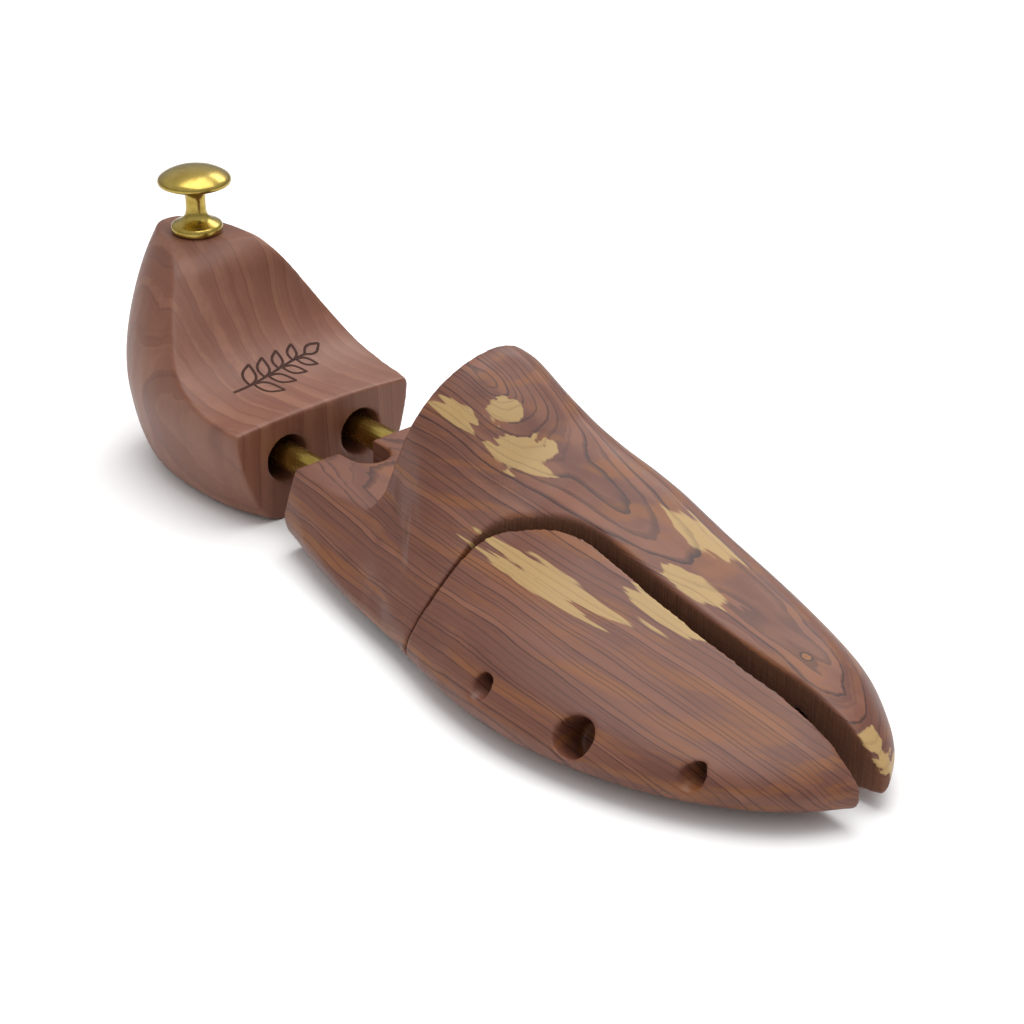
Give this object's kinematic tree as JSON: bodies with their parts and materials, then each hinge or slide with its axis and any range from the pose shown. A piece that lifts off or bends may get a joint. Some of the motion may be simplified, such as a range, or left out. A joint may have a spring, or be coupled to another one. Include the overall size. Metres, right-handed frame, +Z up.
{
  "type": "shoe tree",
  "caption": "Split-toe cedar shoe tree with a sprung toe wing, and a scooped heel block that slides on brass tubes and carries a mushroom pull knob.",
  "frame": {"origin": "on the flat of the forepart's sole, on its centre line, 60 mm in front of the forepart's rear face", "axes": "+X towards the toe, along the tubes; +Y towards the medial (big toe) side; +Z up from the floor"},
  "size_m": [0.2886, 0.0881, 0.0856],
  "materials": {
    "cedar": "sanded and lightly waxed red cedar, satin",
    "cedar_heel": "sanded red cedar, satin, a little paler",
    "brass": "polished",
    "steel": "bright zinc plated"
  },
  "bodies": {
    "forepart": {"forepart_body": "cedar", "outer_tube_lateral": "brass", "tube_plug_lateral": "steel", "tube_pin_lateral": "steel", "length_spring_lateral": "steel", "outer_tube_medial": "brass", "tube_plug_medial": "steel", "tube_pin_medial": "steel", "length_spring_medial": "steel", "guide_screw_rear": "steel", "guide_washer_rear": "steel", "wing_spring_rear": "steel", "guide_screw_front": "steel", "guide_washer_front": "steel", "wing_spring_front": "steel"},
    "heel": {"heel_block": "cedar_heel", "pull_knob": "brass", "knob_stud": "steel", "inner_rod_lateral": "steel", "rod_pin_lateral": "steel", "inner_rod_medial": "steel", "rod_pin_medial": "steel"},
    "wing": {"toe_wing": "cedar"}
  },
  "joints": [
    {"name": "heel_slide", "type": "slide", "parent": "forepart", "child": "heel", "axis": [1, 0, 0], "range_m": [0, 0.0155], "stiffness_N_per_m": 1200, "springref_m": -0.015, "deforming": ["length_spring_lateral", "length_spring_medial"]},
    {"name": "wing_hinge", "type": "hinge", "parent": "forepart", "child": "wing", "pos_m": [0.0135, -0.0425, 0], "axis": [0, 0, 1], "range_deg": [0, 2.4], "stiffness_Nm_per_rad": 8, "springref_deg": -3.44, "deforming": ["wing_spring_rear", "wing_spring_front"]}
  ]
}
